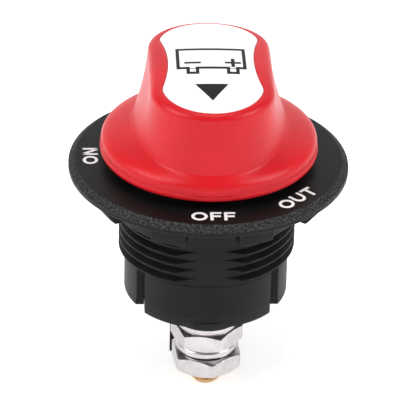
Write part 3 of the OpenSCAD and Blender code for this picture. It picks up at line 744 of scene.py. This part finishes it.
class Shader:
    """One material: its nodes, its principled shader, and the places that patterns read."""

    def __init__(self, name):
        self.material = bpy.data.materials.new(name)
        self.material.use_nodes = True
        self.tree = self.material.node_tree
        self.bsdf = self.tree.nodes["Principled BSDF"]
        self.place = self.node("ShaderNodeTexCoord", output="Object")

    def node(self, kind, settings=None, inputs=None, output=0):
        """Any node: its settings first, then the values or links of its sockets."""
        made = self.tree.nodes.new(kind)
        for key, value in (settings or {}).items():
            setattr(made, key, value)
        for key, value in (inputs or {}).items():
            self.feed(made.inputs[key], value)
        return Socket(self, made.outputs[output])

    def feed(self, socket, value):
        """Links a varying number to a socket, or sets a constant on it."""
        if isinstance(value, Socket):
            self.tree.links.new(value.link, socket)
        else:
            socket.default_value = value

    def number(self, value):
        """A constant as a node, for the left side of a subtraction."""
        return self.node("ShaderNodeMath", {"operation": "ADD"}, {0: value, 1: 0.0})

    def axes(self):
        """Place on the object in millimetres from the flange's underside: x, y, z."""
        split = self.tree.nodes.new("ShaderNodeSeparateXYZ")
        self.tree.links.new(self.place.link, split.inputs[0])
        x, y, z = (Socket(self, split.outputs[i]) for i in range(3))
        return x * 1000.0, y * 1000.0, z * 1000.0 - LIFT

    def noise(self, per_mm, detail=3.0, rough=0.5, place=None, distortion=0.0):
        """Cloudy pattern, about 0.5 on average, with so many features a millimetre."""
        return self.node("ShaderNodeTexNoise", None, {
            "Vector": place or self.place, "Scale": per_mm * 1000.0, "Detail": detail,
            "Roughness": rough, "Distortion": distortion,
        }, "Fac")

    def stretched(self, x, y, z):
        """Place with each axis scaled, for streaks along the axis with the smallest factor."""
        return self.node("ShaderNodeMapping", None, {"Vector": self.place, "Scale": (x, y, z)})

    def mix(self, factor, a, b):
        """Colour that goes from a to b as factor goes from 0 to 1."""
        return self.node("ShaderNodeMix", {"data_type": "RGBA"}, {0: factor, 6: a, 7: b}, 2)

    def edge(self, radius_mm=0.6):
        """0 on flat stretches and 1 on outward edges, from how the surface turns nearby."""
        bevel = self.node("ShaderNodeBevel", {"samples": 4}, {"Radius": radius_mm * MM})
        normal = self.node("ShaderNodeNewGeometry", output="Normal")
        dot = self.node("ShaderNodeVectorMath", {"operation": "DOT_PRODUCT"}, {0: bevel, 1: normal},
                        "Value")
        return (1.0 - dot).step(0.01, 0.25)

    def bump(self, height, strength, distance_mm=0.1):
        """Tilts the surface's normal as if the height stood on it."""
        made = self.node("ShaderNodeBump", None, {
            "Height": height, "Strength": strength, "Distance": distance_mm * MM,
        })
        self.feed(self.bsdf.inputs["Normal"], made)

    def set(self, **values):
        """Sets the principled shader's sockets by name, with _ for a space."""
        for key, value in values.items():
            self.feed(self.bsdf.inputs[key.replace("_", " ")], value)
        return self.material


def rgb(r, g, b):
    """Colour with full alpha."""
    return (r, g, b, 1.0)


def black_plastic():
    """Moulded black plastic: satin, but finely pitted on the flange's bevel, with a painted highlight that
    makes its edges paler.
    """
    s = Shader("moulded_black")
    x, y, z = s.axes()
    radius = (x * x + y * y).sqrt()
    bevel = (radius.step(FLANGE_R - BEVEL_W - 0.1, FLANGE_R - BEVEL_W + 0.15)
             * z.step(RIM_H - 0.5, RIM_H - 0.1))
    rim = radius.step(FLANGE_R - 0.4, FLANGE_R - 0.1) * z.step(-0.2, 0.1)
    cloud = s.noise(0.12, 4.0)
    fine = s.noise(2.2, 3.0, 0.6)
    grain = s.noise(5.5, 2.0, 0.5)
    shade = s.mix(cloud.step(0.3, 0.75), rgb(0.0035, 0.0035, 0.0037), rgb(0.006, 0.006, 0.0063))
    shade = s.mix(bevel * fine.step(0.35, 0.7), shade, rgb(0.06, 0.06, 0.062))
    # painted highlight: the convex edges are mixed half-way towards a paler grey
    shade = s.mix(s.edge(0.35) * 0.5, shade, rgb(0.035, 0.035, 0.037))
    s.bump(fine * (0.15 + bevel * 1.5) + grain * (0.25 + rim * 0.4), 0.4, 0.16)
    return s.set(Base_Color=shade, Roughness=(0.36 + cloud * 0.12 + bevel * 0.22 + fine * 0.06).clamp(),
                 Specular_IOR_Level=0.16)


def base_plastic():
    """Glass-filled black plastic of the base: matt, with faint flow streaks and a painted highlight that
    makes its edges paler.
    """
    s = Shader("filled_black")
    streak = s.noise(0.5, 4.0, 0.6, s.stretched(1.0, 1.0, 0.2), 0.6)
    grain = s.noise(3.0, 3.0, 0.6)
    shade = s.mix(streak.step(0.35, 0.7), rgb(0.005, 0.005, 0.0053), rgb(0.009, 0.009, 0.0093))
    # painted highlight: the convex edges are mixed half-way towards a paler grey
    shade = s.mix(s.edge(0.3) * 0.5, shade, rgb(0.05, 0.05, 0.05))
    s.bump(grain + streak * 0.6, 0.25, 0.1)
    return s.set(Base_Color=shade, Roughness=(0.42 + streak * 0.15 + grain * 0.06).clamp(),
                 Specular_IOR_Level=0.2)


def red_plastic():
    """Red moulded plastic with a fine even grain, slightly polished edges, and a painted highlight that
    makes the edges paler.
    """
    s = Shader("moulded_red")
    cloud = s.noise(0.08, 3.0)
    grain = s.noise(1.7, 3.0, 0.6)
    fine = s.noise(5.0, 2.0, 0.5)
    painted_highlight_and_polish = s.edge(1.0)
    shade = s.mix(cloud.step(0.3, 0.7), rgb(0.53, 0.0045, 0.01), rgb(0.6, 0.006, 0.013))
    shade = s.mix(grain.step(0.4, 0.75) * 0.35, shade, rgb(0.68, 0.016, 0.024))
    # painted highlight: the convex edges are mixed towards a paler red; the same edge mask also lowers
    # their roughness
    shade = s.mix(painted_highlight_and_polish * 0.3, shade, rgb(0.7, 0.035, 0.045))
    s.bump(grain + fine * 0.5, 0.3, 0.16)
    return s.set(Base_Color=shade, Roughness=(0.27 + cloud * 0.08 + grain * 0.06 - painted_highlight_and_polish * 0.05).clamp(),
                 Specular_IOR_Level=0.25)


def printed_label():
    """White inlay printed in black: a battery with its two signs, and an arrow that points forwards."""
    s = Shader("printed_white")
    x, y, z = s.axes()

    def box(x0, x1, y0, y1, soft=0.05):
        """1 inside a rectangle, with an edge as soft as ink."""
        dx = (x - (x0 + x1) / 2).abs() - (x1 - x0) / 2
        dy = (y - (y0 + y1) / 2).abs() - (y1 - y0) / 2
        return 1.0 - dx.max(dy).step(-soft, soft)

    line, rise = 0.85, 1.1
    half, near, far = 8.45, -4.3, 6.5
    case = (box(-half, half, near, far)
            * (1.0 - box(-half + line, half - line, near + rise, far - rise)))
    posts = box(-6.1, -3.0, -6.7, -4.0) + box(3.6, 6.7, -6.7, -4.0)
    holes = (box(-6.1 + line, -3.0 - line, -6.7 + rise, -3.3)
             + box(3.6 + line, 6.7 - line, -6.7 + rise, -3.3))
    signs = (box(-6.5, -2.5, -1.65, -0.7) + box(3.3, 7.2, -1.65, -0.7) + box(4.8, 5.7, -3.2, 0.9))
    tip_y, base_y, half_w, arrow_x = -18.4, -11.3, 4.05, -0.25
    slope = half_w / (base_y - tip_y)
    side = (x - arrow_x).abs() - (y - tip_y) * slope
    arrow = (1.0 - side.step(-0.05, 0.05)) * (1.0 - (y - base_y).step(-0.05, 0.05))
    on_top = z.step(20.0, 22.0)
    print_mask = ((case + posts - holes).clamp() + signs + arrow).clamp() * on_top
    cloud = s.noise(0.1, 3.0)
    grain = s.noise(4.0, 2.0, 0.5)
    white = s.mix(cloud.step(0.3, 0.7), rgb(0.86, 0.86, 0.865), rgb(0.9, 0.9, 0.9))
    shade = s.mix(print_mask, white, rgb(0.003, 0.003, 0.0035))
    s.bump(grain * 0.4 + print_mask * 0.5, 0.15, 0.05)
    return s.set(Base_Color=shade, Roughness=(0.34 + cloud * 0.08 + grain * 0.05).clamp(),
                 Specular_IOR_Level=0.2)


def mark_ink():
    """White printing ink, thinned by wear to grey in small specks."""
    s = Shader("white_ink")
    speck = s.noise(3.5, 4.0, 0.7)
    shade = s.mix(speck.step(0.66, 0.78), rgb(0.82, 0.82, 0.82), rgb(0.45, 0.45, 0.45))
    s.bump(speck, 0.2, 0.04)
    return s.set(Base_Color=shade, Roughness=(0.45 + speck * 0.15).clamp())


def nickel():
    """Bright nickel plate: fine turning and handling marks, dulled in small patches, with a painted
    highlight that makes the edges paler.
    """
    s = Shader("bright_nickel")
    patch = s.noise(0.35, 4.0, 0.6)
    scratch = s.noise(1.6, 5.0, 0.7, s.stretched(1.0, 1.0, 6.0), 1.5)
    pit = s.noise(6.0, 2.0, 0.6)
    painted_edge_highlight = s.edge(0.25)
    shade = s.mix(patch.step(0.3, 0.75), rgb(0.6, 0.565, 0.57), rgb(0.5, 0.465, 0.47))
    # painted highlight: the convex edges are mixed half-way towards a paler nickel
    shade = s.mix(painted_edge_highlight * 0.5, shade, rgb(0.78, 0.765, 0.755))
    s.bump(scratch + pit * 0.3, 0.12, 0.05)
    return s.set(Base_Color=shade, Metallic=1.0,
                 Roughness=(0.13 + patch * 0.14 + scratch * 0.1).clamp())


def steel(name, tint, rough, streaks=(1.0, 1.0, 8.0)):
    """Drawn or rolled metal: streaks one way, a mottled tint, and edges painted brighter as a highlight.
    """
    s = Shader(name)
    mottle = s.noise(0.3, 4.0, 0.6)
    streak = s.noise(1.5, 4.0, 0.65, s.stretched(*streaks), 0.5)
    dark = tuple(0.72 * c for c in tint)
    shade = s.mix(mottle.step(0.3, 0.75), rgb(*tint), rgb(*dark))
    # painted highlight: the convex edges are mixed towards a brighter copy of the tint
    shade = s.mix(s.edge(0.25) * 0.4, shade, rgb(*[min(1.0, 1.25 * c) for c in tint]))
    s.bump(streak, 0.2, 0.05)
    return s.set(Base_Color=shade, Metallic=1.0, Roughness=(rough + mottle * 0.15 + streak * 0.1).clamp())


def brass():
    """Turned brass: warm where it is clean, brown where it has tarnished in the thread, and paler at the
    edges as a painted highlight.
    """
    s = Shader("tarnished_brass")
    tarnish = s.noise(0.5, 5.0, 0.65)
    turning = s.noise(2.5, 3.0, 0.6, s.stretched(1.0, 1.0, 7.0), 0.3)
    shade = s.mix(tarnish.step(0.42, 0.7), rgb(0.55, 0.33, 0.1), rgb(0.22, 0.1, 0.03))
    # painted highlight: the convex edges are mixed half-way towards a pale brass
    shade = s.mix(s.edge(0.2) * 0.5, shade, rgb(0.75, 0.55, 0.25))
    s.bump(turning, 0.2, 0.05)
    return s.set(Base_Color=shade, Metallic=1.0, Roughness=(0.18 + tarnish * 0.2 + turning * 0.08).clamp())


def nylon():
    """Natural nylon: warm white, waxy, with faint mould flow."""
    s = Shader("natural_nylon")
    flow = s.noise(0.25, 4.0, 0.6, s.stretched(1.0, 1.0, 0.4), 0.8)
    grain = s.noise(4.0, 2.0, 0.5)
    shade = s.mix(flow.step(0.3, 0.7), rgb(0.72, 0.68, 0.58), rgb(0.8, 0.77, 0.68))
    s.bump(grain * 0.5 + flow, 0.15, 0.08)
    return s.set(Base_Color=shade, Roughness=(0.38 + flow * 0.15).clamp())


def rubber():
    """Greased black rubber with a dusty bloom."""
    s = Shader("greased_rubber")
    bloom = s.noise(0.8, 4.0, 0.6)
    shade = s.mix(bloom.step(0.45, 0.8), rgb(0.01, 0.01, 0.01), rgb(0.035, 0.035, 0.034))
    s.bump(bloom, 0.2, 0.05)
    return s.set(Base_Color=shade, Roughness=(0.35 + bloom * 0.3).clamp())


# ---------------------------------------------------------------- dressing the pieces
def dress(target, material):
    """Gives a piece one material."""
    target.data.materials.clear()
    target.data.materials.append(material)


def soften(node, width_mm):
    """Small rounded edges on a CAD node: its loose triangles are welded first, by modifiers only."""
    weld = node.modifiers.new("weld", "WELD")
    weld.merge_threshold = 1e-6
    bevel = node.modifiers.new("bevel", "BEVEL")
    bevel.width = width_mm * MM
    bevel.segments = 2
    bevel.limit_method = "ANGLE"
    bevel.angle_limit = math.radians(40)


def build_object():
    """Every new piece, and the materials of the nodes that stay as they are."""
    black, filled = black_plastic(), base_plastic()
    red, white, ink_white = red_plastic(), printed_label(), mark_ink()
    plate, yellow = nickel(), brass()
    grey = steel("oiled_steel", (0.56, 0.56, 0.57), 0.28)
    copper = steel("rolled_copper", (0.83, 0.42, 0.26), 0.25, (8.0, 1.0, 8.0))
    silver = steel("contact_silver_face", (0.86, 0.85, 0.81), 0.2)
    wax, seal = nylon(), rubber()

    dress(build_case(), black)
    dress(build_marks(), ink_white)
    for name, made in build_terminals().items():
        dress(made, yellow if name.startswith("stud") else plate)
    dress(piece("knob_shell", [knob_shell()], "key_knob", ["knob"], smooth=50), red)
    dress(piece("label_plate", [label_plate()], "key_knob", ["knob_label"], smooth=60),
          white)

    finishes = {
        "base": filled, "base_screws": plate, "shaft_seal": seal, "stud_contacts": silver,
        "rotor": wax, "thrust_washer": grey, "key_shaft": grey, "knob_screw": plate,
        "contact_carrier": wax, "contact_bridge": copper, "bridge_contacts": silver,
        "contact_spring": grey, "bridge_clip": grey, "return_spring": grey,
    }
    for name, material in finishes.items():
        dress(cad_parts[name], material)
    for name, width_mm in (("base", 0.25), ("rotor", 0.2), ("key_shaft", 0.25)):
        soften(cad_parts[name], width_mm)


# ---------------------------------------------------------------- floor, light and camera
def floor_and_backdrop():
    """Pale sweep: a level floor under the lowest point that curves up behind."""
    low = cad_box[0].z
    across = np.linspace(-3, 3, 2)
    along = np.array([-3.0, 1.2])
    bend = np.linspace(0, np.pi / 2, 24)
    y = np.concatenate([along, 1.2 + 0.8 * np.sin(bend)[1:], [2.0]])
    z = np.concatenate([[0.0, 0.0], 0.8 * (1 - np.cos(bend))[1:], [3.0]]) + low
    points = [(float(a), float(b), float(c)) for b, c in zip(y, z) for a in across]
    faces = [(2 * i, 2 * i + 1, 2 * i + 3, 2 * i + 2) for i in range(len(y) - 1)]
    mesh = bpy.data.meshes.new("backdrop")
    mesh.from_pydata(points, [], faces)
    mesh.polygons.foreach_set("use_smooth", np.ones(len(faces), bool))
    backdrop = bpy.data.objects.new("backdrop", mesh)
    bpy.context.scene.collection.objects.link(backdrop)
    s = Shader("pale_paper")
    tooth = s.noise(0.05, 2.0)
    shade = s.mix(tooth, rgb(0.93, 0.93, 0.93), rgb(0.95, 0.95, 0.95))
    dress(backdrop, s.set(Base_Color=shade, Roughness=0.9, Emission_Color=rgb(1.0, 1.0, 1.0),
                          Emission_Strength=0.45))


def area_light(name, place, aim, size, power):
    """Soft area light at a place in metres, turned to face a point."""
    data = bpy.data.lights.new(name, "AREA")
    data.size = size
    data.energy = power
    made = bpy.data.objects.new(name, data)
    made.location = place
    made.rotation_euler = (Vector(aim) - Vector(place)).to_track_quat("-Z", "Y").to_euler()
    bpy.context.scene.collection.objects.link(made)


def lights():
    """Even white room light, and a soft light at each side and above."""
    world = bpy.data.worlds.new("studio")
    bpy.context.scene.world = world
    world.use_nodes = True
    world.node_tree.nodes["Background"].inputs["Color"].default_value = rgb(1.0, 1.0, 1.0)
    world.node_tree.nodes["Background"].inputs["Strength"].default_value = 0.25
    aim = (0, 0, 0.01)
    area_light("left", (-0.7, -0.3, 0.45), aim, 0.5, 5.0)
    area_light("right", (0.7, -0.3, 0.4), aim, 0.45, 4.2)
    area_light("top", (0.0, -0.05, 0.9), aim, 0.5, 3.4)


def tone():
    """Plain tone curve, so that blacks stay black and whites white."""
    view = bpy.context.scene.view_settings
    view.view_transform = "Standard"
    view.look = "None"


def camera():
    """Long lens from above the front, a few degrees to the left, rolled a little."""
    azimuth, elevation, roll = math.radians(-3.0), math.radians(30.5), math.radians(1.47)
    distance, focal_mm, sensor_mm = 0.7, 247.2, 36.0
    aim = Vector((-0.55 * MM, 0, (LIFT - 11.3) * MM))
    back = Vector((math.sin(azimuth) * math.cos(elevation), -math.cos(azimuth) * math.cos(elevation),
                   math.sin(elevation)))
    data = bpy.data.cameras.new("camera")
    data.lens, data.sensor_width = focal_mm, sensor_mm
    data.clip_start, data.clip_end = 0.01, 20.0
    made = bpy.data.objects.new("camera", data)
    made.location = aim + back * distance
    turn = (-back).to_track_quat("-Z", "Y").to_matrix().to_4x4()
    made.rotation_euler = (turn @ Matrix.Rotation(roll, 4, "Z")).to_euler()
    bpy.context.scene.collection.objects.link(made)
    bpy.context.scene.camera = made


build_object()
floor_and_backdrop()
lights()
tone()
camera()

bpy.context.view_layer.update()
